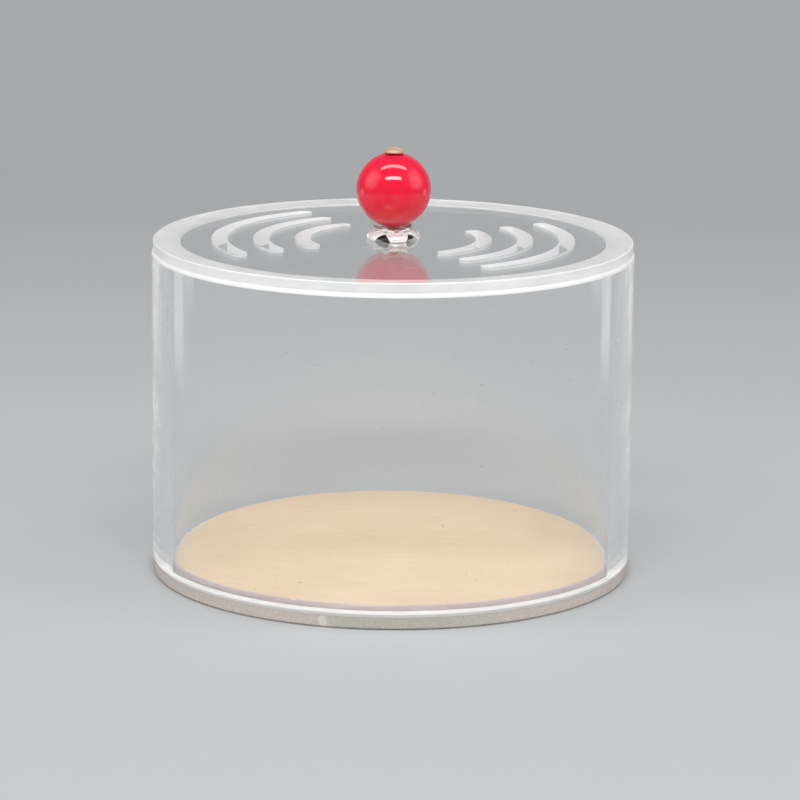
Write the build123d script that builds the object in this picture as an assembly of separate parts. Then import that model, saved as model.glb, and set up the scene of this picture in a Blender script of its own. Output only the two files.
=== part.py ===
from build123d import *
import math
import os

# Cricket keeper box: a clear acrylic jar with a floor disc that lies loose in it, and a
# milled lid with two groups of air slots and a bead for a knob.
# Millimetres. The origin is the centre of the base's underside, +Z is up, and +X runs
# through the middle of one group of air slots.

# Jar: a length of tube on a round base plate
tube_diameter = 100.0
tube_wall = 4.0
tube_length = 65.65
tube_rim_round = 1.0
tube_bore_break = 0.3
base_thickness = 2.5
base_inset = 0.3
base_edge_break = 0.4
seam_leg = 0.7
seam_film = 0.05
seam_toe = 0.45
seam_toe_height = 0.75

# Floor disc
floor_thickness = 1.8
floor_edge_round = 0.25
floor_side_clearance = 0.6

# Lid: a plate with a rebate all round, which leaves a plug
lid_rim_inset = 0.3
lid_rim_thickness = 1.9
lid_edge_break = 0.2
plug_depth = 1.8
plug_side_clearance = 1.7

# Air slots: arcs about the lid's centre, with round ends. The span is over the ends.
slot_groups = 2
slots_per_group = 3
slot_width = 3.2
slot_first_radius = 18.8
slot_pitch = 8.6
slot_span = 93.0

# Knob: a bead over a bead cap, both on one screw
bead_diameter = 15.5
bead_hole_break = 0.2
cap_diameter = 11.3
cap_height = 2.4
cap_wall = 0.45
cap_shoulder_radius = 1.9
petals = 5
petal_gap_width = 2.7
petal_gap_height = 1.3
petal_gap_turn = -30.0
petal_eye_width = 1.0
petal_eye_length = 1.5
petal_eye_radius = 3.6

# Fasteners: a round-head screw, a washer and a nut
screw_diameter = 2.0
screw_end_beyond_nut = 1.2
head_diameter = 4.4
head_height = 1.0
head_edge_height = 0.25
drive_slot_width = 0.5
drive_slot_depth = 0.55
washer_diameter = 5.0
washer_thickness = 0.3
nut_across_flats = 4.0
nut_height = 1.6
nut_corner_break = 0.25

# Clearances
seat_gap = 0.05
turning_clearance = 0.05
screw_hole_clearance = 0.1
thread_clearance = 0.02

# Radii and levels that follow
tube_radius = tube_diameter / 2
bore_radius = tube_radius - tube_wall
base_radius = tube_radius - base_inset
plug_radius = bore_radius - plug_side_clearance
lid_radius = tube_radius - lid_rim_inset
screw_radius = screw_diameter / 2
screw_hole_radius = screw_radius + screw_hole_clearance
tube_foot = base_thickness + seam_film
tube_top = tube_foot + tube_length
lid_underside = tube_top + seat_gap
lid_top = lid_underside + lid_rim_thickness
plug_underside = lid_underside - plug_depth
bead_centre = lid_top + cap_height + seat_gap + bead_diameter / 2
head_underside = bead_centre + bead_diameter / 2 + seat_gap
washer_underside = plug_underside - washer_thickness
nut_underside = washer_underside - nut_height
screw_end = nut_underside - screw_end_beyond_nut

UP_FROM_BOTTOM = (Align.CENTER, Align.CENTER, Align.MIN)


def disc(radius, bottom, top):
    """A plain round plate about Z between two levels."""
    return Pos(0, 0, bottom) * Cylinder(radius, top - bottom, align=UP_FROM_BOTTOM)


def edges_at(shape, level, radius):
    """The circular edges of one radius at one level."""
    round_edges = shape.edges().filter_by(GeomType.CIRCLE)
    at_level = round_edges.filter_by_position(Axis.Z, level, level)
    return at_level.filter_by(lambda edge: abs(edge.radius - radius) < 0.001)


def make_jar_wall():
    """The tube, sawn square, with its rim rounded and its foot bevelled for the cement."""
    tube = disc(tube_radius, tube_foot, tube_top)
    tube -= disc(bore_radius, tube_foot, tube_top)
    tube = fillet(edges_at(tube, tube_top, tube_radius), tube_rim_round)
    tube = chamfer(edges_at(tube, tube_top, bore_radius), tube_bore_break)
    return chamfer(edges_at(tube, tube_foot, tube_radius), seam_leg)


def make_base_plate():
    """The round plate that closes the tube's foot, cut a little smaller than the tube."""
    plate = disc(base_radius, 0, base_thickness)
    return chamfer(edges_at(plate, 0, base_radius), base_edge_break)


def make_base_seam():
    """The set cement: it fills the bevel at the tube's foot, lies as a film under the foot
    and stands as a small toe inside."""
    corners = [
        (bore_radius - seam_toe, 0, base_thickness),
        (base_radius, 0, base_thickness),
        (tube_radius, 0, tube_foot + seam_leg),
        (tube_radius - seam_leg, 0, tube_foot),
        (bore_radius, 0, tube_foot),
        (bore_radius, 0, tube_foot + seam_toe_height),
    ]
    section = make_face(Polyline(*corners, close=True))
    return revolve(section, Axis.Z)


def make_floor_pad():
    """The loose disc that the insect walks on."""
    radius = bore_radius - floor_side_clearance
    bottom = base_thickness + seat_gap
    pad = disc(radius, bottom, bottom + floor_thickness)
    return fillet(pad.edges(), floor_edge_round)


def slot_cutter(radius, middle_angle):
    """One air slot: the track of a round cutter along an arc."""
    end_angle = math.degrees(slot_width / 2 / radius)
    start = middle_angle - slot_span / 2 + end_angle
    track = CenterArc((0, 0), radius, start, slot_span - 2 * end_angle)
    outline = SlotArc(track, slot_width)
    return Pos(0, 0, plug_underside) * extrude(outline, lid_top - plug_underside)


def make_lid():
    """Plate and plug in one piece, with the air slots and the screw's hole through it."""
    plate = disc(lid_radius, lid_underside, lid_top)
    plate = chamfer(edges_at(plate, lid_top, lid_radius), lid_edge_break)
    plug = disc(plug_radius, plug_underside, lid_underside)
    plug = chamfer(edges_at(plug, plug_underside, plug_radius), lid_edge_break)
    lid = plate + plug
    for group in range(slot_groups):
        for row in range(slots_per_group):
            radius = slot_first_radius + row * slot_pitch
            lid -= slot_cutter(radius, group * 360 / slot_groups)
    return lid - disc(screw_hole_radius, plug_underside, lid_top)


def make_bead_cap():
    """The flower cap under the bead: a low dome, open between its petals."""
    radius = cap_diameter / 2
    dome_top = lid_top + cap_height
    cap = disc(radius, lid_top, dome_top)
    cap = fillet(edges_at(cap, dome_top, radius), cap_shoulder_radius)
    hollow_radius = radius - cap_wall
    hollow_top = dome_top - cap_wall
    hollow = disc(hollow_radius, lid_top, hollow_top)
    hollow = fillet(edges_at(hollow, hollow_top, hollow_radius), cap_shoulder_radius - cap_wall)
    cap -= hollow
    arch = RectangleRounded(petal_gap_width, 2 * petal_gap_height, 0.45 * petal_gap_width)
    arch_cutter = extrude(Plane.YZ * arch, radius)
    eye = SlotOverall(petal_eye_length, petal_eye_width)
    eye_cutter = extrude(eye, cap_height)
    for petal in range(petals):
        gap_angle = petal_gap_turn + petal * 360 / petals
        eye_angle = gap_angle + 180 / petals
        cap -= Pos(0, 0, lid_top) * Rot(0, 0, gap_angle) * arch_cutter
        cap -= Rot(0, 0, eye_angle) * Pos(petal_eye_radius, 0, lid_top) * eye_cutter
    return cap - disc(screw_hole_radius, lid_top, dome_top)


def make_knob_bead():
    """The drilled bead, which turns on the screw."""
    hole_radius = screw_radius + turning_clearance
    radius = bead_diameter / 2
    bead = Pos(0, 0, bead_centre) * Sphere(radius)
    bead -= disc(hole_radius, bead_centre - radius, bead_centre + radius)
    return chamfer(bead.edges().filter_by(GeomType.CIRCLE), bead_hole_break)


def make_knob_screw():
    """A domed, slotted screw head on a plain shank as long as the stack it holds."""
    dome_height = head_height - head_edge_height
    head_radius = head_diameter / 2
    dome_radius = (head_radius**2 + dome_height**2) / (2 * dome_height)
    head_top = head_underside + head_height
    head = disc(head_radius, head_underside, head_top)
    head &= Pos(0, 0, head_top - dome_radius) * Sphere(dome_radius)
    drive_slot = Box(head_diameter, drive_slot_width, 2 * drive_slot_depth)
    head -= Pos(0, 0, head_top) * drive_slot
    return head + disc(screw_radius, screw_end, head_underside)


def make_knob_washer():
    """The flat washer between the lid and the nut."""
    washer = disc(washer_diameter / 2, washer_underside, plug_underside)
    return washer - disc(screw_hole_radius, washer_underside, plug_underside)


def make_knob_nut():
    """The hexagon nut under the washer, with its lower corners broken."""
    hexagon = RegularPolygon(nut_across_flats / 2, 6, major_radius=False)
    nut = Pos(0, 0, nut_underside) * extrude(hexagon, nut_height)
    lower_edges = nut.edges().group_by(Axis.Z)[0]
    nut = chamfer(lower_edges, nut_corner_break)
    return nut - disc(screw_radius + thread_clearance, nut_underside, washer_underside)


nodes = {
    "jar_wall": make_jar_wall(),
    "base_plate": make_base_plate(),
    "base_seam": make_base_seam(),
    "floor_pad": make_floor_pad(),
    "lid": make_lid(),
    "bead_cap": make_bead_cap(),
    "knob_bead": make_knob_bead(),
    "knob_screw": make_knob_screw(),
    "knob_washer": make_knob_washer(),
    "knob_nut": make_knob_nut(),
}

os.makedirs("parts", exist_ok=True)
for name, shape in nodes.items():
    export_step(shape, f"parts/{name}.step")
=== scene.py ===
# Cricket keeper box: a clear acrylic jar with a loose floor disc, and a milled lid with a
# bead for a knob. Everything is in metres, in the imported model's own frame.
import math
import bmesh
import bpy
from mathutils import Matrix, Vector


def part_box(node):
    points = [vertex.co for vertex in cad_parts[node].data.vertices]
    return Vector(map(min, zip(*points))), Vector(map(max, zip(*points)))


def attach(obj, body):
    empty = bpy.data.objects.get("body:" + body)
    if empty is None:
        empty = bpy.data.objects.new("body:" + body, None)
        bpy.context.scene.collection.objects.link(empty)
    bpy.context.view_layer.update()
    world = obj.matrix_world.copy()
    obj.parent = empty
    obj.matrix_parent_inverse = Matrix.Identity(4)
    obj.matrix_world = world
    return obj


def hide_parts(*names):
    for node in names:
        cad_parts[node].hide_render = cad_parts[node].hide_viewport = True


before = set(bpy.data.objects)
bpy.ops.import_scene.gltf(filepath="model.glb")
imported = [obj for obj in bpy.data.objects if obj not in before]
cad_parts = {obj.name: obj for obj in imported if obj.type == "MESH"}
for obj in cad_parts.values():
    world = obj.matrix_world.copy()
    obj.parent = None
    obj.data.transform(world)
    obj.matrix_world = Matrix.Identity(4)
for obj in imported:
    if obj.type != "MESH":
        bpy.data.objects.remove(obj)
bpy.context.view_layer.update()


# --- Camera ---------------------------------------------------------
# A long lens at about arm's length, a little above the lid. It is aimed slightly to the
# right of the jar's axis and stands turned a few degrees from the middle of the slots.
camera_distance = 0.7859
camera_height = 0.2117
camera_turn = math.radians(14.0)
camera_pitch = math.radians(12.617)
camera_aim_right = math.radians(0.125)
camera_roll = math.radians(0.527)
camera_lens = 173.25

camera = bpy.data.objects.new("camera", bpy.data.cameras.new("camera"))
bpy.context.scene.collection.objects.link(camera)
camera.data.lens = camera_lens
camera.data.sensor_width = 36.0
camera.data.clip_start = 0.01
place = Vector((math.sin(camera_turn), -math.cos(camera_turn), 0.0)) * camera_distance
place.z = camera_height
aim = Matrix.Rotation(camera_turn - camera_aim_right, 4, "Z")
tilt = Matrix.Rotation(math.pi / 2 - camera_pitch, 4, "X")
roll = Matrix.Rotation(camera_roll, 4, "Z")
camera.matrix_world = Matrix.Translation(place) @ aim @ tilt @ roll
bpy.context.scene.camera = camera

# Light travels far inside clear acrylic before it leaves, so its paths are kept long.
paths = bpy.context.scene.cycles
paths.max_bounces = 128
paths.transmission_bounces = 128
paths.glossy_bounces = 64
paths.transparent_max_bounces = 24

# --- Studio ---------------------------------------------------------
# A pale sheet that lies under the jar and curves up behind it, a long soft box overhead,
# one above the camera, a broad soft panel at each side, and a dim grey room.
sheet_grey = (0.48, 0.487, 0.495)
sheet_half_width = 1.6
sheet_front = -1.3
sheet_bend_start = 0.42
sheet_bend_radius = 0.5
sheet_height = 1.6
sheet_bend_steps = 24
room_grey = (0.33, 0.335, 0.34)

sheet_line = [(sheet_front, 0.0), (sheet_bend_start, 0.0)]
for step in range(1, sheet_bend_steps + 1):
    angle = math.pi / 2 * step / sheet_bend_steps
    along = sheet_bend_start + sheet_bend_radius * math.sin(angle)
    sheet_line.append((along, sheet_bend_radius * (1 - math.cos(angle))))
sheet_line.append((sheet_bend_start + sheet_bend_radius, sheet_height))

sheet_mesh = bpy.data.meshes.new("backdrop")
sheet_corners = []
for along, height in sheet_line:
    sheet_corners.append((-sheet_half_width, along, height))
    sheet_corners.append((sheet_half_width, along, height))
sheet_faces = []
for row in range(len(sheet_line) - 1):
    sheet_faces.append((2 * row, 2 * row + 1, 2 * row + 3, 2 * row + 2))
sheet_mesh.from_pydata(sheet_corners, [], sheet_faces)
for polygon in sheet_mesh.polygons:
    polygon.use_smooth = True
backdrop = bpy.data.objects.new("backdrop", sheet_mesh)
bpy.context.scene.collection.objects.link(backdrop)
backdrop.rotation_euler = (0.0, 0.0, camera_turn)

sheet_material = bpy.data.materials.new("backdrop_sheet")
sheet_material.use_nodes = True
sheet_shader = sheet_material.node_tree.nodes["Principled BSDF"]
sheet_shader.inputs["Base Color"].default_value = (*sheet_grey, 1.0)
sheet_shader.inputs["Roughness"].default_value = 0.9
sheet_shader.inputs["Specular IOR Level"].default_value = 0.2
sheet_mesh.materials.append(sheet_material)

room = bpy.data.worlds.new("room")
room.use_nodes = True
room.node_tree.nodes["Background"].inputs["Color"].default_value = (*room_grey, 1.0)
bpy.context.scene.world = room


def feed(tree, term, socket):
    """Sets a socket to a plain value, or links what other nodes work out."""
    if isinstance(term, bpy.types.NodeSocket):
        tree.links.new(term, socket)
    else:
        socket.default_value = term


def reckoned(tree, operation, *terms):
    """One step of arithmetic on values."""
    step = tree.nodes.new("ShaderNodeMath")
    step.operation = operation
    for term, socket in zip(terms, step.inputs):
        feed(tree, term, socket)
    return step.outputs["Value"]


def eased(tree, value, start, end, low=0.0, high=1.0, curve="LINEAR"):
    """Runs from low to high while the value goes from start to end, and stops there."""
    ease = tree.nodes.new("ShaderNodeMapRange")
    ease.interpolation_type = curve
    terms = {"Value": value, "From Min": start, "From Max": end, "To Min": low, "To Max": high}
    for name, term in terms.items():
        feed(tree, term, ease.inputs[name])
    return ease.outputs["Result"]


def soft_box(name, watts, size, place, target, soft_edge):
    """A rectangular lamp that faces a point and fades towards its own edges."""
    lamp = bpy.data.lights.new(name, "AREA")
    lamp.shape = "RECTANGLE"
    lamp.energy = watts
    lamp.size, lamp.size_y = size
    lamp.use_nodes = True
    tree = lamp.node_tree
    surface = tree.nodes.new("ShaderNodeNewGeometry")
    across = tree.nodes.new("ShaderNodeSeparateXYZ")
    tree.links.new(surface.outputs["Parametric"], across.inputs["Vector"])
    fades = []
    for side in ("X", "Y"):
        centred = reckoned(tree, "SUBTRACT", across.outputs[side], 0.5)
        off_centre = reckoned(tree, "ABSOLUTE", centred)
        fades.append(eased(tree, off_centre, 0.5, 0.5 - 0.5 * soft_edge, curve="SMOOTHSTEP"))
    feed(tree, reckoned(tree, "MULTIPLY", *fades), tree.nodes["Emission"].inputs["Strength"])
    box = bpy.data.objects.new(name, lamp)
    bpy.context.scene.collection.objects.link(box)
    turn = Matrix.Rotation(camera_turn, 4, "Z")
    stand = turn @ Vector(place)
    facing = (turn @ Vector(target) - stand).to_track_quat("-Z", "Y")
    box.matrix_world = Matrix.Translation(stand) @ facing.to_matrix().to_4x4()
    return box


soft_box(
    "overhead_box",
    watts=3.1,
    size=(0.98, 0.15),
    place=(0.0, -0.05, 0.84),
    target=(0.0, 0.0, 0.0),
    soft_edge=0.15,
)
soft_box(
    "front_box",
    watts=8.6,
    size=(1.0, 0.22),
    place=(0.0, -0.74, 0.82),
    target=(0.0, 0.0, 0.08),
    soft_edge=0.3,
)
for side, name in ((-1, "left_panel"), (1, "right_panel")):
    soft_box(
        name,
        watts=4.6,
        size=(1.1, 1.1),
        place=(0.8 * side, -0.12, 0.48),
        target=(0.0, 0.0, 0.06),
        soft_edge=0.8,
    )

# Two small strips stand low at the sides. They only show as streaks in polished surfaces.
for side, name in ((-1, "left_strip"), (1, "right_strip")):
    strip = soft_box(
        name,
        watts=0.018,
        size=(0.05, 0.08),
        place=(0.22 * side, 0.083, 0.04),
        target=(0.0, 0.0, 0.04),
        soft_edge=0.6,
    )
    strip.visible_camera = False
    strip.visible_diffuse = False

# --- Base plate -----------------------------------------------------
# A disc cut from clear acrylic sheet. Its faces are polished, and its cut edge is satin
# all round, with a pale nick where the cutter went in and came out.
base_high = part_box("base_plate")[1]
base_radius = base_high.x
base_thickness = base_high.z
base_edge_break = 0.0004
nick_turn = math.radians(-91.6)
nick_half_angle = 0.016
nick_ragged = 2.4 * nick_half_angle
nick_fade = (2.25 * nick_half_angle, 1.95 * nick_half_angle)
tone_change_turn = math.radians(-89.4)
tone_change_fade = 0.02
tone_return_turn = math.radians(-56.0)
tone_return_fade = 0.17
acrylic_ior = 1.49
turning_steps = 288


def turn_angles(steps):
    """Evenly spaced angles, once round."""
    return [2 * math.pi * step / steps for step in range(steps)]


def on_circle(radius, angle, height):
    """A point at a radius and an angle about Z."""
    return radius * math.cos(angle), radius * math.sin(angle), height


def turned(name, outline, materials, steps=turning_steps):
    """A solid turned about Z. The outline holds (radius, height, material number) for
    each point, and the number is that of the face that runs on to the next point."""
    made = bmesh.new()
    rings = []
    for radius, height, number in outline:
        if radius == 0.0:
            rings.append([made.verts.new((0.0, 0.0, height))] * steps)
            continue
        corners = [on_circle(radius, angle, height) for angle in turn_angles(steps)]
        rings.append([made.verts.new(corner) for corner in corners])
    for row, (radius, height, number) in enumerate(outline):
        near = rings[row]
        far = rings[(row + 1) % len(rings)]
        if near[0] is near[1] and far[0] is far[1]:
            continue
        for step in range(steps):
            onward = (step + 1) % steps
            corners = [near[step], near[onward], far[onward], far[step]]
            face = made.faces.new(list(dict.fromkeys(corners)))
            face.material_index = number
    return finished(name, made, materials)


def finished(name, made, materials, sharp_degrees=28.0):
    """Turns the bmesh into an object with its materials and shades its curves smooth."""
    bmesh.ops.recalc_face_normals(made, faces=made.faces)
    mesh = bpy.data.meshes.new(name)
    made.to_mesh(mesh)
    made.free()
    for polygon in mesh.polygons:
        polygon.use_smooth = True
    mesh.set_sharp_from_angle(angle=math.radians(sharp_degrees))
    for material in materials:
        mesh.materials.append(material)
    piece = bpy.data.objects.new(name, mesh)
    bpy.context.scene.collection.objects.link(piece)
    return piece


def effect_group(name, inputs, outputs):
    """A new shader node group, with the sockets to read from and those to feed. An input
    whose usual value is a tuple is a colour, and every other one is a plain value."""
    tree = bpy.data.node_groups.new(name, "ShaderNodeTree")
    for socket, usual in inputs.items():
        kind = "NodeSocketColor" if isinstance(usual, tuple) else "NodeSocketFloat"
        made = tree.interface.new_socket(socket, in_out="INPUT", socket_type=kind)
        made.default_value = usual
    for socket in outputs:
        kind = "NodeSocketColor" if socket == "Color" else "NodeSocketFloat"
        tree.interface.new_socket(socket, in_out="OUTPUT", socket_type=kind)
    given = tree.nodes.new("NodeGroupInput").outputs
    result = tree.nodes.new("NodeGroupOutput").inputs
    return tree, given, result


def object_place(tree):
    """Where a point lies on the piece, in metres."""
    return tree.nodes.new("ShaderNodeTexCoord").outputs["Object"]


def drawn_out(tree, place, scale, turn=(0.0, 0.0, 0.0)):
    """The place turned and scaled, so that a pattern on it comes out longer one way."""
    mapping = tree.nodes.new("ShaderNodeMapping")
    mapping.inputs["Rotation"].default_value = turn
    mapping.inputs["Scale"].default_value = scale
    tree.links.new(place, mapping.inputs["Vector"])
    return mapping.outputs["Vector"]


def noise(tree, place, scale, detail=2.0, distortion=0.0):
    """Soft random values over the piece."""
    texture = tree.nodes.new("ShaderNodeTexNoise")
    texture.inputs["Detail"].default_value = detail
    texture.inputs["Distortion"].default_value = distortion
    tree.links.new(place, texture.inputs["Vector"])
    feed(tree, scale, texture.inputs["Scale"])
    return texture.outputs["Fac"]


def cells(tree, place, scale):
    """Random cells: the distance from each one's middle, and its own random colour."""
    texture = tree.nodes.new("ShaderNodeTexVoronoi")
    tree.links.new(place, texture.inputs["Vector"])
    feed(tree, scale, texture.inputs["Scale"])
    return texture.outputs["Distance"], texture.outputs["Color"]


def mixed(tree, share, first, second, blend="MIX", kind="RGBA"):
    """Two colours or two values mixed by a share."""
    mix = tree.nodes.new("ShaderNodeMix")
    mix.data_type = kind
    mix.blend_type = blend
    for name, term in (("Factor", share), ("A", first), ("B", second)):
        feed(tree, term, mix.inputs[name])
    return mix.outputs["Result"]


def handling_wear_group():
    """Fine crossed hairlines, dust specks and greasy smears on a polished surface."""
    tree, given, result = effect_group(
        "handling_wear",
        inputs={
            "Hairline Scale": 60.0,
            "Speck Scale": 900.0,
            "Smear Scale": 30.0,
            "Polished": 0.0,
            "Worn": 0.3,
        },
        outputs=["Roughness", "Height"],
    )
    place = object_place(tree)
    marks = []
    for turn, squeeze in ((0.5, 26.0), (2.1, 19.0), (1.2, 33.0)):
        along = drawn_out(tree, place, (1.0, squeeze, squeeze), (turn, 0.3 * turn, turn))
        marks.append(eased(tree, noise(tree, along, given["Hairline Scale"]), 0.70, 0.78))
    off_middle, lot = cells(tree, place, given["Speck Scale"])
    speck = eased(tree, off_middle, 0.10, 0.04)
    marks.append(reckoned(tree, "MULTIPLY", speck, eased(tree, lot, 0.965, 0.98)))
    mark = marks[0]
    for other in marks[1:]:
        mark = reckoned(tree, "MAXIMUM", mark, other)
    greasy = noise(tree, place, given["Smear Scale"], detail=3.0)
    smear = eased(tree, greasy, 0.55, 0.85, high=0.12)
    wear = reckoned(tree, "MAXIMUM", mark, smear)
    roughness = eased(tree, wear, 0.0, 1.0, given["Polished"], given["Worn"])
    feed(tree, roughness, result["Roughness"])
    feed(tree, mark, result["Height"])
    return tree


def sawn_grain_group():
    """The uneven bite of a saw or cutter on acrylic: fine grain with drawn-out ridges."""
    tree, given, result = effect_group(
        "sawn_grain",
        inputs={
            "Grain Scale": 2500.0,
            "Patch Scale": 120.0,
            "Pale": (0.93, 0.94, 0.94, 1.0),
            "Dull": (0.80, 0.82, 0.82, 1.0),
        },
        outputs=["Color", "Height"],
    )
    place = object_place(tree)
    contrast = eased(tree, noise(tree, place, given["Patch Scale"], detail=5.0), 0.35, 0.65)
    feed(tree, mixed(tree, contrast, given["Dull"], given["Pale"]), result["Color"])
    feed(tree, noise(tree, place, given["Grain Scale"], detail=4.0), result["Height"])
    return tree


handling_wear = handling_wear_group()
sawn_grain = sawn_grain_group()


def new_material(name):
    """A material, its node tree to add to, and its Principled shader."""
    material = bpy.data.materials.new(name)
    material.use_nodes = True
    tree = material.node_tree
    return material, tree, tree.nodes["Principled BSDF"]


def placed_group(tree, group, **values):
    """A group's outputs in a material, with values for its inputs by plain name."""
    node = tree.nodes.new("ShaderNodeGroup")
    node.node_tree = group
    for name, value in values.items():
        node.inputs[name.replace("_", " ").title()].default_value = value
    return node.outputs


def bumped(tree, height, shader, strength, distance):
    """Feeds a height into the shader's normal."""
    bump = tree.nodes.new("ShaderNodeBump")
    bump.inputs["Strength"].default_value = strength
    bump.inputs["Distance"].default_value = distance
    tree.links.new(height, bump.inputs["Height"])
    tree.links.new(bump.outputs["Normal"], shader.inputs["Normal"])


def let_lamps_through(tree, shader, tint):
    """Shadow rays pass the acrylic straight, dimmed by its tint."""
    path = tree.nodes.new("ShaderNodeLightPath")
    clear = tree.nodes.new("ShaderNodeBsdfTransparent")
    clear.inputs["Color"].default_value = (*tint, 1.0)
    mix = tree.nodes.new("ShaderNodeMixShader")
    tree.links.new(path.outputs["Is Shadow Ray"], mix.inputs["Fac"])
    tree.links.new(shader.outputs["BSDF"], mix.inputs[1])
    tree.links.new(clear.outputs["BSDF"], mix.inputs[2])
    tree.links.new(mix.outputs["Shader"], tree.nodes["Material Output"].inputs["Surface"])


def clear_acrylic(name, tint, worn):
    """Polished acrylic: glass-clear, with handling wear in its gloss."""
    material, tree, shader = new_material(name)
    shader.inputs["Base Color"].default_value = (*tint, 1.0)
    shader.inputs["IOR"].default_value = acrylic_ior
    shader.inputs["Transmission Weight"].default_value = 1.0
    wear = placed_group(tree, handling_wear, polished=0.0, worn=worn)
    feed(tree, wear["Roughness"], shader.inputs["Roughness"])
    bumped(tree, wear["Height"], shader, strength=0.05, distance=0.00002)
    let_lamps_through(tree, shader, tint=(0.75, 0.76, 0.76))
    return material


plate_clear = clear_acrylic("plate_acrylic", tint=(0.985, 0.995, 0.988), worn=0.25)


def cut_edge(name, warm, cool, nick_colour):
    """The sawn edge of the base: warm all round but for a cooler stretch by the nick."""
    material, tree, shader = new_material(name)
    place = object_place(tree)
    parts = tree.nodes.new("ShaderNodeSeparateXYZ")
    feed(tree, place, parts.inputs["Vector"])
    around = reckoned(tree, "ARCTAN2", parts.outputs["Y"], parts.outputs["X"])
    change = (tone_change_turn - tone_change_fade, tone_change_turn + tone_change_fade)
    back = (tone_return_turn + tone_return_fade, tone_return_turn - tone_return_fade)
    after, before = eased(tree, around, *change), eased(tree, around, *back)
    cooled = reckoned(tree, "MULTIPLY", after, before)
    tone = mixed(tree, cooled, (*warm, 1.0), (*cool, 1.0))
    off_nick = reckoned(tree, "ABSOLUTE", reckoned(tree, "SUBTRACT", around, nick_turn))
    ragged = noise(tree, place, scale=1100.0)
    outline = reckoned(tree, "MULTIPLY_ADD", ragged, nick_ragged, off_nick)
    nick = eased(tree, outline, *nick_fade)
    grain = placed_group(
        tree, sawn_grain, patch_scale=2200.0, pale=(1, 1, 1, 1), dull=(0.84, 0.84, 0.84, 1)
    )
    grained = mixed(tree, 1.0, tone, grain["Color"], "MULTIPLY")
    nicked = mixed(tree, nick, grained, (*nick_colour, 1.0))
    feed(tree, nicked, shader.inputs["Base Color"])
    shader.inputs["IOR"].default_value = acrylic_ior
    shader.inputs["Transmission Weight"].default_value = 0.15
    shader.inputs["Roughness"].default_value = 0.42
    bumped(tree, grain["Height"], shader, strength=0.4, distance=0.00005)
    return material


plate_edge = cut_edge(
    "plate_cut_edge",
    warm=(0.81, 0.715, 0.65),
    cool=(0.69, 0.665, 0.565),
    nick_colour=(0.90, 0.83, 0.79),
)

base_outline = [
    (0.0, base_thickness, 0),
    (base_radius, base_thickness, 1),
    (base_radius, base_edge_break, 1),
    (base_radius - base_edge_break, 0.0, 0),
    (0.0, 0.0, 0),
]
base = turned("base_disc", base_outline, [plate_clear, plate_edge])
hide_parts("base_plate")
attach(base, "jar")

# --- Jar wall -------------------------------------------------------
# A length of extruded acrylic tube. Inside and outside keep the polish of the die, the
# upper rim is sawn and rounded over by hand, and the foot is sawn and bevelled.
wall_low, wall_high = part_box("jar_wall")
wall_radius = min(wall_high.x, wall_high.y)
wall_thickness = 0.004
wall_top = wall_high.z
rim_round = 0.0010
bore_break = 0.0003
rim_round_steps = 8
seam_leg = 0.0007
foot_gap = 0.00003


def arc(centre_radius, centre_height, radius, start_degrees, end_degrees, steps, number):
    """Outline points round a corner, from one angle to another, both ends included."""
    points = []
    for step in range(steps + 1):
        angle = math.radians(start_degrees + (end_degrees - start_degrees) * step / steps)
        across = centre_radius + radius * math.cos(angle)
        points.append((across, centre_height + radius * math.sin(angle), number))
    return points


def frosted_acrylic(name, pale, dull, see_through, rough, lamps_pass=True):
    """Sawn or milled acrylic: white and scattering, with the cutter's grain."""
    material, tree, shader = new_material(name)
    grain = placed_group(tree, sawn_grain, pale=(*pale, 1.0), dull=(*dull, 1.0))
    feed(tree, grain["Color"], shader.inputs["Base Color"])
    shader.inputs["IOR"].default_value = acrylic_ior
    shader.inputs["Transmission Weight"].default_value = see_through
    shader.inputs["Roughness"].default_value = rough
    bumped(tree, grain["Height"], shader, strength=0.4, distance=0.00005)
    if lamps_pass:
        let_lamps_through(tree, shader, tint=(0.6, 0.6, 0.6))
    return material


def drawn_acrylic(name, tint, worn):
    """Extruded acrylic: the clear kind, with faint lines that the die drew along it."""
    material = clear_acrylic(name, tint, worn)
    tree = material.node_tree
    marks = tree.nodes["Bump"]
    along = drawn_out(tree, object_place(tree), scale=(1.0, 1.0, 0.012))
    lines = noise(tree, along, scale=320.0, detail=3.0)
    relief = tree.nodes.new("ShaderNodeBump")
    relief.inputs["Strength"].default_value = 0.22
    relief.inputs["Distance"].default_value = 0.0001
    feed(tree, lines, relief.inputs["Height"])
    feed(tree, relief.outputs["Normal"], marks.inputs["Normal"])
    return material


tube_clear = drawn_acrylic("tube_acrylic", tint=(0.985, 0.99, 0.992), worn=0.3)
tube_sawn = frosted_acrylic(
    "tube_sawn_end", pale=(1.0, 0.99, 0.97), dull=(0.95, 0.94, 0.92), see_through=0.1, rough=0.5
)

bore_radius = wall_radius - wall_thickness
foot = wall_low.z + foot_gap
tube_outline = [
    (bore_radius, foot, 0),
    (bore_radius, wall_top - bore_break, 1),
    (bore_radius + bore_break, wall_top, 1),
]
rim_centre = (wall_radius - rim_round, wall_top - rim_round)
tube_outline += arc(*rim_centre, rim_round, 90, 0, rim_round_steps, 1)
tube_outline[-1] = (wall_radius, wall_top - rim_round, 0)
tube_outline += [
    (wall_radius, foot + seam_leg, 1),
    (wall_radius - seam_leg, foot, 1),
]
tube = turned("acrylic_tube", tube_outline, [tube_clear, tube_sawn])
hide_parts("jar_wall")
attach(tube, "jar")

# --- Cement seam ----------------------------------------------------
# Solvent cement that set milky and glossy. It fills the bevel at the tube's foot, lies as a
# film under the foot, and stands as a small toe where it was squeezed out inside.
seam_inset = 0.00001
seam_toe = 0.00045
seam_toe_height = 0.00075


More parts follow.
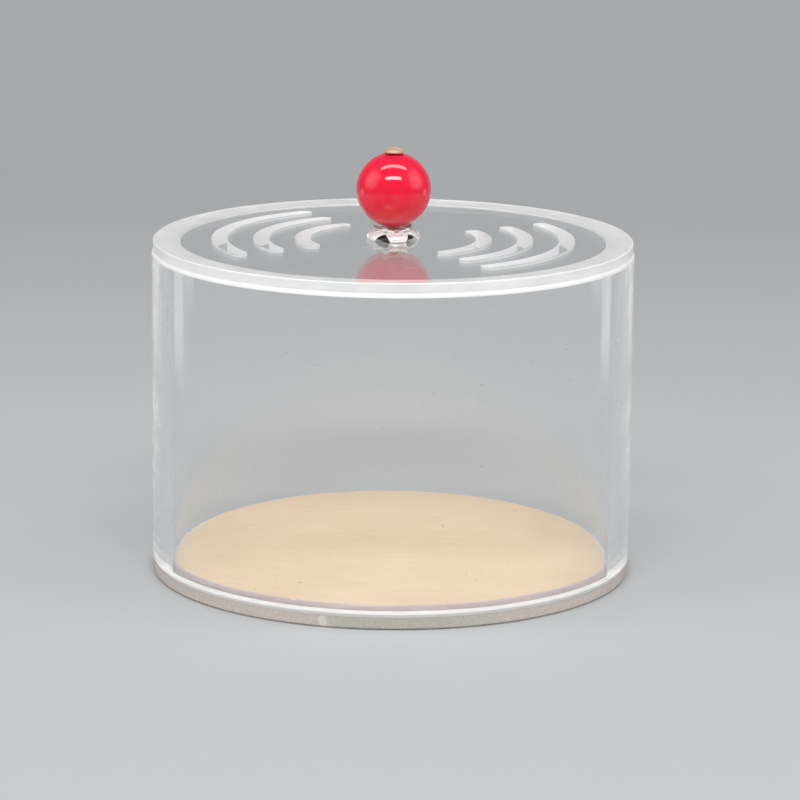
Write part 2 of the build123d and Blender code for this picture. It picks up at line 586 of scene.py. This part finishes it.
def set_cement():
    """Milky cement with small bubbles."""
    material, tree, shader = new_material("set_cement")
    grain = placed_group(
        tree,
        sawn_grain,
        grain_scale=1800.0,
        patch_scale=260.0,
        pale=(0.99, 0.93, 0.87, 1.0),
        dull=(0.95, 0.89, 0.83, 1.0),
    )
    feed(tree, grain["Color"], shader.inputs["Base Color"])
    shader.inputs["IOR"].default_value = 1.47
    shader.inputs["Subsurface Weight"].default_value = 0.8
    shader.inputs["Subsurface Radius"].default_value = (1.0, 1.0, 0.95)
    shader.inputs["Subsurface Scale"].default_value = 0.0009
    shader.inputs["Roughness"].default_value = 0.25
    bumped(tree, grain["Height"], shader, strength=0.5, distance=0.00006)
    return material


seam_low = base_thickness + seam_inset
seam_outline = [
    (bore_radius - seam_toe, seam_low, 0),
    (base_radius - seam_inset, seam_low, 0),
    (wall_radius - seam_inset, wall_low.z + seam_leg - 2 * seam_inset, 0),
    (wall_radius - seam_leg - seam_inset, wall_low.z - seam_inset, 0),
    (bore_radius - seam_inset, wall_low.z - seam_inset, 0),
    (bore_radius - seam_inset, wall_low.z + seam_toe_height, 0),
]
seam = turned("cement_ring", seam_outline, [set_cement()])
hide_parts("base_seam")
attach(seam, "jar")

# --- Floor disc -----------------------------------------------------
# A loose disc of pale, finely pressed board that gives the insect a dry foothold. Its
# face is sanded smooth and its sawn edge is a little rounded, with painted shade in its greyer
# colours.
pad_low, pad_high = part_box("floor_pad")
pad_radius = pad_high.x
pad_edge_round = 0.00025
pad_round_steps = 4


def two_tone(tree, value, start, dark, end, light):
    """A colour that runs from dark to light while a value goes from start to end."""
    tone = tree.nodes.new("ShaderNodeValToRGB")
    for stop, position, colour in zip(tone.color_ramp.elements, (start, end), (dark, light)):
        stop.position = position
        stop.color = (*colour, 1.0)
    feed(tree, value, tone.inputs["Fac"])
    return tone.outputs["Color"]


def pressed_board(name, light, dark, fleck_colour):
    """Pressed board: soft blotches, short fibres and a few darker flecks."""
    material, tree, shader = new_material(name)
    place = object_place(tree)
    blotches = noise(tree, place, scale=45.0, detail=6.0)
    along = drawn_out(tree, place, scale=(90.0, 900.0, 900.0), turn=(0.0, 0.0, 0.25))
    fibres = noise(tree, along, scale=1.6, detail=5.0)
    blend = mixed(tree, 0.45, blotches, fibres, kind="FLOAT")
    tone = two_tone(tree, blend, 0.32, dark, 0.66, light)
    off_middle, lot = cells(tree, place, scale=420.0)
    fleck = eased(tree, off_middle, 0.14, 0.05, high=0.35)
    flecks = reckoned(tree, "MULTIPLY", fleck, eased(tree, lot, 0.75, 0.80))
    flecked = mixed(tree, flecks, tone, (*fleck_colour, 1.0))
    feed(tree, flecked, shader.inputs["Base Color"])
    shader.inputs["Roughness"].default_value = 0.62
    bumped(tree, fibres, shader, strength=0.25, distance=0.00006)
    return material


board_face = pressed_board(
    "board_face",
    light=(0.78, 0.605, 0.42),
    dark=(0.68, 0.51, 0.34),
    fleck_colour=(0.45, 0.33, 0.21),
)
# The edge gets the face's board in greyer, duller colours: painted shade for the shadow on the
# disc's side.
board_edge_painted_shade = pressed_board(
    "board_edge_painted_shade",
    light=(0.63, 0.53, 0.51),
    dark=(0.52, 0.43, 0.415),
    fleck_colour=(0.36, 0.30, 0.28),
)

upper_round = (pad_radius - pad_edge_round, pad_high.z - pad_edge_round)
lower_round = (pad_radius - pad_edge_round, pad_low.z + pad_edge_round)
pad_outline = [(0.0, pad_high.z, 0)]
pad_outline += arc(*upper_round, pad_edge_round, 90, 0, pad_round_steps, 1)
pad_outline += arc(*lower_round, pad_edge_round, 0, -90, pad_round_steps, 1)
pad_outline += [(0.0, pad_low.z, 0)]
pad = turned("floor_disc", pad_outline, [board_face, board_edge_painted_shade])
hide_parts("floor_pad")
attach(pad, "floor")

# --- Lid ------------------------------------------------------------
# One piece of clear sheet. A cutter took a step off its underside all round, which left
# a plug, and milled the arced air slots, so the step and the slot walls are frosted.
lid_low, lid_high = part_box("lid")
lid_radius = lid_high.x
lid_top = lid_high.z
plug_underside = lid_low.z
rim_thickness = 0.0019
plug_radius = 0.0443
lid_edge_break = 0.0002
screw_hole_radius = 0.0011
slot_radii = (0.0188, 0.0274, 0.0360)
slot_width = 0.0032
slot_half_span = math.radians(46.5)
slot_groups = 2
slot_edge_break = 0.00004
hole_steps = 48
slot_arc_steps = 48
slot_end_steps = 14


def circle_outline(radius, steps):
    """Points round a circle."""
    return [on_circle(radius, angle, 0.0)[:2] for angle in turn_angles(steps)]


def slot_outline(radius, middle, grow):
    """Points round one air slot: two arcs joined by half circles. The outline is larger
    than the slot by grow, for the edge break."""
    half_width = slot_width / 2
    reach = slot_half_span - half_width / radius
    points = []
    for end in (1, -1):
        side_radius = radius + end * (half_width + grow)
        for step in range(slot_arc_steps + 1):
            angle = middle + end * reach * (2 * step / slot_arc_steps - 1)
            points.append(on_circle(side_radius, angle, 0.0)[:2])
        end_angle = middle + end * reach
        centre = on_circle(radius, end_angle, 0.0)
        start = end_angle if end == 1 else end_angle + math.pi
        for step in range(1, slot_end_steps):
            angle = start + math.pi * step / slot_end_steps
            across = centre[0] + (half_width + grow) * math.cos(angle)
            points.append((across, centre[1] + (half_width + grow) * math.sin(angle)))
    return points


def flat_ring(made, points, height):
    """Corners of one outline at one height."""
    return [made.verts.new((across, up, height)) for across, up in points]


def band(made, first, second, number):
    """Faces between two outlines with the same number of corners."""
    for step, corner in enumerate(first):
        onward = (step + 1) % len(first)
        face = made.faces.new((corner, first[onward], second[onward], second[step]))
        face.material_index = number


def flat_face(made, rings, number):
    """A flat face bounded by one outline and holding the others as holes."""
    edges = []
    for ring in rings:
        for step, corner in enumerate(ring):
            onward = ring[(step + 1) % len(ring)]
            edge = made.edges.get((corner, onward))
            edges.append(edge or made.edges.new((corner, onward)))
    filled = bmesh.ops.triangle_fill(made, use_beauty=True, edges=edges)
    for item in filled["geom"]:
        if isinstance(item, bmesh.types.BMFace):
            item.material_index = number


def build_lid(materials):
    """Rim, plug, slots and screw hole as one closed mesh."""
    made = bmesh.new()
    # Number 1 is the grey milled copy with painted shade; the plug side's is the whiter copy
    # with painted light.
    clear, milled, edge, slotted, plug_side_painted_light = 0, 1, 2, 3, 4
    rim_underside = lid_top - rim_thickness
    outside = circle_outline(lid_radius, turning_steps)
    top_outside = circle_outline(lid_radius - lid_edge_break, turning_steps)
    plug_outside = circle_outline(plug_radius, turning_steps)
    plug_foot = circle_outline(plug_radius - lid_edge_break, turning_steps)
    hole = circle_outline(screw_hole_radius, hole_steps)

    top = flat_ring(made, top_outside, lid_top)
    shoulder = flat_ring(made, outside, lid_top - lid_edge_break)
    rim = flat_ring(made, outside, rim_underside)
    root = flat_ring(made, plug_outside, rim_underside)
    plug = flat_ring(made, plug_outside, plug_underside + lid_edge_break)
    under = flat_ring(made, plug_foot, plug_underside)
    band(made, top, shoulder, edge)
    band(made, shoulder, rim, edge)
    band(made, rim, root, milled)
    band(made, root, plug, plug_side_painted_light)
    band(made, plug, under, plug_side_painted_light)

    hole_top = flat_ring(made, hole, lid_top)
    hole_under = flat_ring(made, hole, plug_underside)
    band(made, hole_top, hole_under, milled)
    tops, unders = [top, hole_top], [under, hole_under]
    for middle in turn_angles(slot_groups):
        for radius in slot_radii:
            wide = slot_outline(radius, middle, slot_edge_break)
            true = slot_outline(radius, middle, 0.0)
            mouth = flat_ring(made, wide, lid_top)
            upper = flat_ring(made, true, lid_top - slot_edge_break)
            lower = flat_ring(made, true, plug_underside + slot_edge_break)
            exit_mouth = flat_ring(made, wide, plug_underside)
            band(made, mouth, upper, slotted)
            band(made, upper, lower, slotted)
            band(made, lower, exit_mouth, slotted)
            tops.append(mouth)
            unders.append(exit_mouth)
    flat_face(made, tops, clear)
    flat_face(made, unders, clear)
    return finished("milled_lid", made, materials)


lid_clear = clear_acrylic("lid_acrylic", tint=(0.985, 0.992, 0.99), worn=0.3)
# The step and the screw hole get a grey copy of the milled finish: painted shade that keeps the
# ring dim. The plug's side gets a whiter copy: painted light that makes up for the grazing light
# on it.
lid_milled_painted_shade = frosted_acrylic(
    "lid_rebate_painted_shade", pale=(0.77, 0.76, 0.755), dull=(0.67, 0.66, 0.655), see_through=0.2, rough=0.5
)
lid_plug_side_painted_light = frosted_acrylic(
    "lid_plug_side_painted_light", pale=(0.99, 0.99, 0.98), dull=(0.94, 0.94, 0.93), see_through=0.1, rough=0.5
)
lid_edge = frosted_acrylic(
    "lid_cut_edge", pale=(0.99, 0.985, 0.97), dull=(0.88, 0.89, 0.90), see_through=0.3, rough=0.3
)
slot_wall = frosted_acrylic(
    "lid_slot_walls",
    pale=(0.98, 0.99, 1.0),
    dull=(0.93, 0.94, 0.96),
    see_through=0.2,
    rough=1.0,
    lamps_pass=False,
)

lid = build_lid([lid_clear, lid_milled_painted_shade, lid_edge, slot_wall, lid_plug_side_painted_light])
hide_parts("lid")
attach(lid, "lid")

# --- Bead -----------------------------------------------------------
# A polished red ball, drilled through, that turns freely on the screw. It is a little
# translucent, so its edges glow.
bead_low, bead_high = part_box("knob_bead")
bead_radius = bead_high.x
bead_middle = (bead_low.z + bead_high.z) / 2
bead_hole_radius = 0.00105
bead_hole_break = 0.0002
bead_rows = 64
bead_steps = 128


def red_stone(name):
    """Translucent red stone with faint clouds under a hard polish."""
    material, tree, shader = new_material(name)
    clouds = noise(tree, object_place(tree), scale=220.0, detail=4.0, distortion=0.6)
    tone = two_tone(tree, clouds, 0.3, (0.90, 0.001, 0.034), 0.7, (0.99, 0.003, 0.055))
    feed(tree, tone, shader.inputs["Base Color"])
    shader.inputs["IOR"].default_value = 1.6
    shader.inputs["Subsurface Weight"].default_value = 1.0
    shader.inputs["Subsurface Radius"].default_value = (1.0, 0.04, 0.09)
    shader.inputs["Subsurface Scale"].default_value = 0.012
    wear = placed_group(tree, handling_wear, hairline_scale=200.0, polished=0.02, worn=0.10)
    feed(tree, wear["Roughness"], shader.inputs["Roughness"])
    return material


hole_edge_radius = bead_hole_radius + bead_hole_break
top_angle = math.degrees(math.acos(hole_edge_radius / bead_radius))
bead_outline = arc(0.0, bead_middle, bead_radius, top_angle, -top_angle, bead_rows, 0)
bead_outline += [
    (bead_hole_radius, bead_low.z + bead_hole_break, 0),
    (bead_hole_radius, bead_high.z - bead_hole_break, 0),
]
bead = turned("knob_ball", bead_outline, [red_stone("red_bead_stone")], bead_steps)
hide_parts("knob_bead")
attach(bead, "bead")

# --- Flower cap -----------------------------------------------------
# A pierced silver bead cap that lies on the lid: five domed petals with a wire round
# their edge, an eye in each, and a crown of small leaves that the bead sits in.
cap_low, cap_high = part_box("bead_cap")
cap_radius = cap_high.x
cap_foot = cap_low.z
cap_height = cap_high.z - cap_low.z
cap_metal = 0.00036
petals = 5
petal_turn = math.radians(7.0)
petal_middles = [petal_turn + angle for angle in turn_angles(petals)]
petal_rays = 60
petal_rings = 9
gap_half_angle = math.radians(19.0)
cap_hole_radius = screw_hole_radius
gap_rise = 0.62
gap_point = 0.75
eye_place = 0.38
eye_size = (math.radians(9.0), 0.13)
lobe_depth = 0.10
lobe_power = 2.2
reach_power = 0.92
crown_power = 0.80
crease_depth = 0.00042
crease_stretch = 1.15
cap_wire = 0.00021
cap_clearance = 0.0001
weld_distance = 0.000004
sharp_cap_degrees = 50.0


def about_z(point, turn):
    """A point turned about the cap's axis."""
    across = point[0] * math.cos(turn) - point[1] * math.sin(turn)
    up = point[0] * math.sin(turn) + point[1] * math.cos(turn)
    return across, up, point[2]


def cap_surface(angle, down):
    """A point of the cap's outer face: down runs from 0 at the crown to 1 at the foot."""
    sector = math.pi / petals
    off_middle = abs((angle + sector) % (2 * sector) - sector) / sector
    lobe = math.cos(0.5 * math.pi * off_middle ** lobe_power)
    bend = 0.5 * math.pi * down
    reach = (cap_radius - cap_wire - cap_hole_radius) * math.sin(bend) ** reach_power
    radius = cap_hole_radius + reach * (1.0 - lobe_depth + lobe_depth * lobe)
    crease_share = math.sin(math.pi * min(down * crease_stretch, 1.0))
    crease = crease_depth * (1.0 - lobe) * crease_share
    dome_height = cap_height - cap_wire - cap_clearance
    height = dome_height * math.cos(bend) ** crown_power - crease
    height += cap_foot + cap_clearance
    return on_circle(radius, angle, height)


def cap_foot_line(angle):
    """How far down a petal reaches: all the way, but for the pointed gaps between."""
    sector = math.pi / petals
    from_gap = sector - abs((angle + sector) % (2 * sector) - sector)
    if from_gap >= gap_half_angle:
        return 1.0
    return 1.0 - gap_rise * (1.0 - from_gap / gap_half_angle) ** gap_point


def petal_edge_point(share):
    """A point of one petal's border in angle and depth, once round for share 0 to 1."""
    sector = math.pi / petals
    side = share * 4.0
    if side < 1.0:
        angle = sector * (2 * side - 1)
        return angle, cap_foot_line(angle)
    if side < 2.0:
        return sector, cap_foot_line(sector) * (2.0 - side)
    if side < 3.0:
        return sector * (5 - 2 * side), 0.0
    return -sector, cap_foot_line(sector) * (side - 3.0)


def build_petals():
    """The pierced shell: rings of faces between each petal's eye and its border."""
    made = bmesh.new()
    for middle in petal_middles:
        rings = []
        for row in range(petal_rings + 1):
            outward = row / petal_rings
            ring = []
            for ray in range(petal_rays):
                edge_angle, edge_down = petal_edge_point(ray / petal_rays)
                toward = math.atan2(edge_down - eye_place, edge_angle)
                eye_angle = eye_size[0] * math.cos(toward)
                eye_down = eye_place + eye_size[1] * math.sin(toward)
                angle = eye_angle + (edge_angle - eye_angle) * outward
                down = eye_down + (edge_down - eye_down) * outward
                ring.append(made.verts.new(about_z(cap_surface(angle, down), middle)))
            rings.append(ring)
        for near, far in zip(rings, rings[1:]):
            band(made, near, far, 0)
    bmesh.ops.remove_doubles(made, verts=made.verts, dist=weld_distance)
    return made


def wire_along(made, points, radius, steps):
    """A round wire along a closed line of points."""
    rings = []
    for place, point in enumerate(points):
        ahead = Vector(points[(place + 1) % len(points)])
        along = (ahead - Vector(points[place - 1])).normalized()
        side = along.cross(Vector((0.0, 0.0, 1.0))).normalized()
        up = side.cross(along)
        ring = []
        for angle in turn_angles(steps):
            offset = side * math.cos(angle) + up * math.sin(angle)
            ring.append(made.verts.new(Vector(point) + offset * radius))
        rings.append(ring)
    for place in range(len(rings)):
        band(made, rings[place - 1], rings[place], 0)


def metal_wear_group():
    """Fine scratches, dull patches and tarnish that gathers in the hollows."""
    tree, given, result = effect_group(
        "metal_wear",
        inputs={
            "Bright": (0.9, 0.9, 0.9, 1.0),
            "Dull": (0.7, 0.7, 0.7, 1.0),
            "Tarnish": (0.2, 0.2, 0.2, 1.0),
            "Patch Scale": 900.0,
            "Scratch Scale": 4000.0,
            "Smooth": 0.15,
            "Rough": 0.4,
        },
        outputs=["Color", "Roughness", "Height"],
    )
    place = object_place(tree)
    dullness = eased(tree, noise(tree, place, given["Patch Scale"], 5.0), 0.35, 0.70)
    shape = tree.nodes.new("ShaderNodeNewGeometry")
    hollow = eased(tree, shape.outputs["Pointiness"], 0.49, 0.42)
    metal = mixed(tree, dullness, given["Bright"], given["Dull"])
    feed(tree, mixed(tree, hollow, metal, given["Tarnish"]), result["Color"])
    roughness = eased(tree, dullness, 0.0, 1.0, given["Smooth"], given["Rough"])
    feed(tree, roughness, result["Roughness"])
    feed(tree, noise(tree, place, given["Scratch Scale"], 3.0, 1.5), result["Height"])
    return tree


metal_wear = metal_wear_group()


def worn_metal(name, bright, dull, tarnish, smooth, rough, relief, metallic=1.0):
    """Metal with its colour, gloss and fine relief from the wear group."""
    material, tree, shader = new_material(name)
    wear = placed_group(
        tree,
        metal_wear,
        bright=(*bright, 1.0),
        dull=(*dull, 1.0),
        tarnish=(*tarnish, 1.0),
        smooth=smooth,
        rough=rough,
    )
    feed(tree, wear["Color"], shader.inputs["Base Color"])
    feed(tree, wear["Roughness"], shader.inputs["Roughness"])
    shader.inputs["Metallic"].default_value = metallic
    bumped(tree, wear["Height"], shader, strength=relief, distance=0.00004)
    return material


cap_silver = worn_metal(
    "cap_silver",
    bright=(0.99, 0.98, 0.97),
    dull=(0.92, 0.91, 0.90),
    tarnish=(0.24, 0.22, 0.21),
    smooth=0.22,
    rough=0.40,
    relief=0.35,
    metallic=0.35,
)
# The inside of the shell and the core under the crown get this dark copy of the silver: painted
# shade for the hollow under the dome.
cap_inside_painted_shade = worn_metal(
    "cap_inside_painted_shade",
    bright=(0.30, 0.29, 0.27),
    dull=(0.16, 0.155, 0.15),
    tarnish=(0.08, 0.08, 0.08),
    smooth=0.45,
    rough=0.7,
    relief=0.35,
)


def thickened(piece, thickness, inner_material):
    """Gives a sheet of faces its metal thickness, inward."""
    modifier = piece.modifiers.new("thickness", "SOLIDIFY")
    modifier.thickness = thickness
    modifier.offset = -1.0
    modifier.material_offset = inner_material


shell = finished("cap_petals", build_petals(), [cap_silver, cap_inside_painted_shade], sharp_cap_degrees)
# Its inner faces take the second material, the dark copy with painted shade.
thickened(shell, cap_metal, 1)
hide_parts("bead_cap")
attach(shell, "lid")

# A dark turned shell under the crown: painted shade that fills the view into the cap's hollow.
core_top = cap_high.z - 0.0006
core_shoulder = cap_high.z - 0.0009
core_shoulder_radius = 0.0026
core_foot = cap_foot + 0.0002
core_foot_radius = 0.0042
core_metal = 0.0003
core_steps = 72
core_outline = [
    (cap_hole_radius, core_top, 0),
    (core_shoulder_radius, core_shoulder, 0),
    (core_foot_radius, core_foot, 0),
    (core_foot_radius - core_metal, core_foot, 0),
    (core_shoulder_radius - core_metal, core_shoulder - core_metal, 0),
    (cap_hole_radius, core_top - core_metal, 0),
]
shade_core = turned("cap_shade_core", core_outline, [cap_inside_painted_shade], core_steps)
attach(shade_core, "lid")

eye_wire = 0.7 * cap_wire
rim_steps, rim_wire_steps = 360, 10
eye_steps, eye_wire_steps = 36, 8


def build_wires():
    """The wire along the petals' edge, and a thinner one round each eye."""
    made = bmesh.new()
    rim_line = []
    for angle in turn_angles(rim_steps):
        across, up, height = about_z(cap_surface(angle, cap_foot_line(angle)), petal_turn)
        rim_line.append((across, up, max(height, cap_foot + cap_wire)))
    wire_along(made, rim_line, cap_wire, rim_wire_steps)
    for middle in petal_middles:
        eye_line = []
        for toward in turn_angles(eye_steps):
            angle = eye_size[0] * math.cos(toward)
            down = eye_place + eye_size[1] * math.sin(toward)
            eye_line.append(about_z(cap_surface(angle, down), middle))
        wire_along(made, eye_line, eye_wire, eye_wire_steps)
    return made


wires = finished("cap_wires", build_wires(), [cap_silver], sharp_cap_degrees)
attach(wires, "lid")

leaf_root_radius = 0.0030
leaf_tip_radius = 0.0040
leaf_root_depth = 0.0006
leaf_rise = 0.00012
leaf_bulge = 0.00012
leaf_metal = 0.00022
leaf_half_angle = math.radians(34.0)
leaf_tip_share = 0.02
leaf_point_power = 1.7
leaf_side_power = 0.8
leaf_reach_power = 0.9
leaf_rise_power = 1.2
leaf_rows, leaf_columns = 10, 8


def leaf_surface(middle, up, side):
    """A point of one leaf: up runs from 0 at the root to 1 at the tip, and side runs from
    -1 at one edge to 1 at the other."""
    taper = max(1.0 - up ** leaf_point_power, leaf_tip_share) ** leaf_side_power
    reach = leaf_root_radius + (leaf_tip_radius - leaf_root_radius) * up ** leaf_reach_power
    bulge = leaf_bulge * (1 - side * side)
    height = cap_high.z - leaf_root_depth
    height += (leaf_root_depth + leaf_rise) * up ** leaf_rise_power
    height += 0.5 * bulge
    return on_circle(reach + bulge, middle + leaf_half_angle * taper * side, height)


def build_leaves():
    """The crown: one leaf above each gap between two petals."""
    made = bmesh.new()
    for petal in range(petals):
        middle = petal_turn + 2 * math.pi * (petal + 0.5) / petals
        grid = []
        for row in range(leaf_rows + 1):
            line = []
            for column in range(leaf_columns + 1):
                side = 2 * column / leaf_columns - 1
                line.append(made.verts.new(leaf_surface(middle, row / leaf_rows, side)))
            grid.append(line)
        for lower, upper in zip(grid, grid[1:]):
            for column in range(leaf_columns):
                corners = (lower[column], lower[column + 1], upper[column + 1], upper[column])
                made.faces.new(corners)
    return made


leaves = finished("cap_leaves", build_leaves(), [cap_silver], sharp_degrees=60.0)
thickened(leaves, leaf_metal, 0)
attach(leaves, "lid")

# --- Knob screw -----------------------------------------------------
# A small brass screw with a domed, slotted head. It holds bead, cap and lid together, and
# its thread shows in the clear lid and below the nut. The head is satin from handling.
screw_low, screw_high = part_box("knob_screw")
screw_radius = 0.0010
thread_root_radius = 0.00083
thread_pitch = 0.0004
thread_crest = 0.08
thread_flank = 0.34
thread_rows_per_turn = 10
thread_top = lid_top
thread_runout = 0.0002
tip_radius = 0.00065
head_radius = screw_high.x
head_high = screw_high.z
head_edge = 0.00025
head_edge_break = 0.00008
head_dome = 0.00075
head_dome_rows = 14
drive_slot_width = 0.0005
drive_slot_depth = 0.00045
screw_steps = 48

brass_satin = worn_metal(
    "screw_brass",
    bright=(0.76, 0.57, 0.355),
    dull=(0.69, 0.51, 0.31),
    tarnish=(0.33, 0.24, 0.13),
    smooth=0.42,
    rough=0.60,
    relief=0.3,
    metallic=0.7,
)


def thread_radius(angle, height):
    """The radius of the thread's surface: a helix of flat-topped ridges."""
    turn = ((height - screw_low.z) / thread_pitch - angle / (2 * math.pi)) % 1.0
    flank = min(max((abs(turn - 0.5) - thread_crest) / thread_flank, 0.0), 1.0)
    radius = screw_radius - (screw_radius - thread_root_radius) * flank
    return min(radius, tip_radius + (height - screw_low.z))


def build_screw():
    """Thread, shank and head as one closed surface from the tip up."""
    made = bmesh.new()
    head_low = head_high - head_dome - head_edge
    rows = []
    thread_rows = round((thread_top - screw_low.z) / thread_pitch * thread_rows_per_turn)
    for row in range(thread_rows + 1):
        height = screw_low.z + (thread_top - screw_low.z) * row / thread_rows
        rows.append((height, None))
    rows.append((thread_top + thread_runout, screw_radius))
    rows.append((head_low, screw_radius))
    rows.append((head_low, head_radius - head_edge_break))
    rows.append((head_low + head_edge_break, head_radius))
    sphere = (head_radius ** 2 + head_dome ** 2) / (2 * head_dome)
    widest = math.asin(head_radius / sphere)
    for row in range(head_dome_rows):
        angle = widest * (1 - row / head_dome_rows)
        height = head_high - sphere * (1 - math.cos(angle))
        rows.append((height, sphere * math.sin(angle)))
    rings = []
    for height, radius in rows:
        ring = []
        for angle in turn_angles(screw_steps):
            reach = thread_radius(angle, height) if radius is None else radius
            ring.append(made.verts.new(on_circle(reach, angle, height)))
        rings.append(ring)
    for near, far in zip(rings, rings[1:]):
        band(made, near, far, 0)
    made.faces.new(rings[0])
    top = made.verts.new((0.0, 0.0, head_high))
    for step in range(screw_steps):
        made.faces.new((rings[-1][step], rings[-1][(step + 1) % screw_steps], top))
    return made


screw = finished("slotted_screw", build_screw(), [brass_satin], sharp_degrees=35.0)
cutter_made = bmesh.new()
bmesh.ops.create_cube(cutter_made, size=1.0)
cutter_size = Vector((3 * head_radius, drive_slot_width, 2 * drive_slot_depth))
for corner in cutter_made.verts:
    corner.co = corner.co * cutter_size + Vector((0.0, 0.0, head_high))
cutter = finished("slot_cutter", cutter_made, [brass_satin])
cut = screw.modifiers.new("drive_slot", "BOOLEAN")
cut.operation = "DIFFERENCE"
cut.solver = "EXACT"
cut.object = cutter
shapes = bpy.context.evaluated_depsgraph_get()
slotted = bpy.data.meshes.new_from_object(screw.evaluated_get(shapes))
screw.modifiers.clear()
screw.data = slotted
bpy.data.objects.remove(cutter)
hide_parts("knob_screw")
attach(screw, "lid")

# --- Washer and nut -------------------------------------------------
# A flat steel washer against the lid's underside, and a small steel hexagon nut that
# pulls the stack together. Both are bright from the press and the tap.
washer_low, washer_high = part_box("knob_washer")
washer_radius = washer_high.x
washer_hole_radius = screw_hole_radius
washer_round = 0.00007
washer_round_steps = 4
washer_steps = 72
bright_steel = worn_metal(
    "fastener_steel",
    bright=(0.72, 0.72, 0.73),
    dull=(0.58, 0.58, 0.59),
    tarnish=(0.22, 0.21, 0.20),
    smooth=0.2,
    rough=0.42,
    relief=0.3,
)

lower_round = (washer_radius - washer_round, washer_low.z + washer_round)
upper_round = (washer_radius - washer_round, washer_high.z - washer_round)
washer_outline = [(washer_hole_radius + washer_round, washer_low.z, 0)]
washer_outline += arc(*lower_round, washer_round, -90, 0, washer_round_steps, 0)
washer_outline += arc(*upper_round, washer_round, 0, 90, washer_round_steps, 0)
washer_outline += [
    (washer_hole_radius + washer_round, washer_high.z, 0),
    (washer_hole_radius, washer_high.z - washer_round, 0),
    (washer_hole_radius, washer_low.z + washer_round, 0),
]
washer = turned("steel_washer", washer_outline, [bright_steel], washer_steps)
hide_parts("knob_washer")
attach(washer, "lid")

nut_low, nut_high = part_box("knob_nut")
nut_flat_radius = 0.0020
nut_bore_radius = 0.00102
nut_bore_break = 0.00018
nut_face_radius = 0.00192
nut_corner_slope = math.tan(math.radians(30.0))
nut_steps = 96


def nut_section(angle):
    """Radius and height of each corner of the nut's section at one angle about Z."""
    off_flat = (angle + math.pi / 6) % (math.pi / 3) - math.pi / 6
    hexagon = nut_flat_radius / math.cos(off_flat)
    drop = (hexagon - nut_face_radius) * nut_corner_slope
    return (
        (nut_bore_radius + nut_bore_break, nut_low.z),
        (nut_face_radius, nut_low.z),
        (hexagon, nut_low.z + drop),
        (hexagon, nut_high.z - drop),
        (nut_face_radius, nut_high.z),
        (nut_bore_radius + nut_bore_break, nut_high.z),
        (nut_bore_radius, nut_high.z - nut_bore_break),
        (nut_bore_radius, nut_low.z + nut_bore_break),
    )


def build_nut():
    """A hexagon whose corners are turned off at 30 degrees on both faces."""
    made = bmesh.new()
    sections = []
    for angle in turn_angles(nut_steps):
        points = [on_circle(radius, angle, height) for radius, height in nut_section(angle)]
        sections.append([made.verts.new(point) for point in points])
    rings = list(zip(*sections))
    for place in range(len(rings)):
        band(made, rings[place - 1], rings[place], 0)
    return made


nut = finished("hexagon_nut", build_nut(), [bright_steel], sharp_degrees=20.0)
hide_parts("knob_nut")
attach(nut, "lid")

# --- Last -----------------------------------------------------------
# Colours show as they are written.
bpy.context.scene.view_settings.view_transform = "Standard"
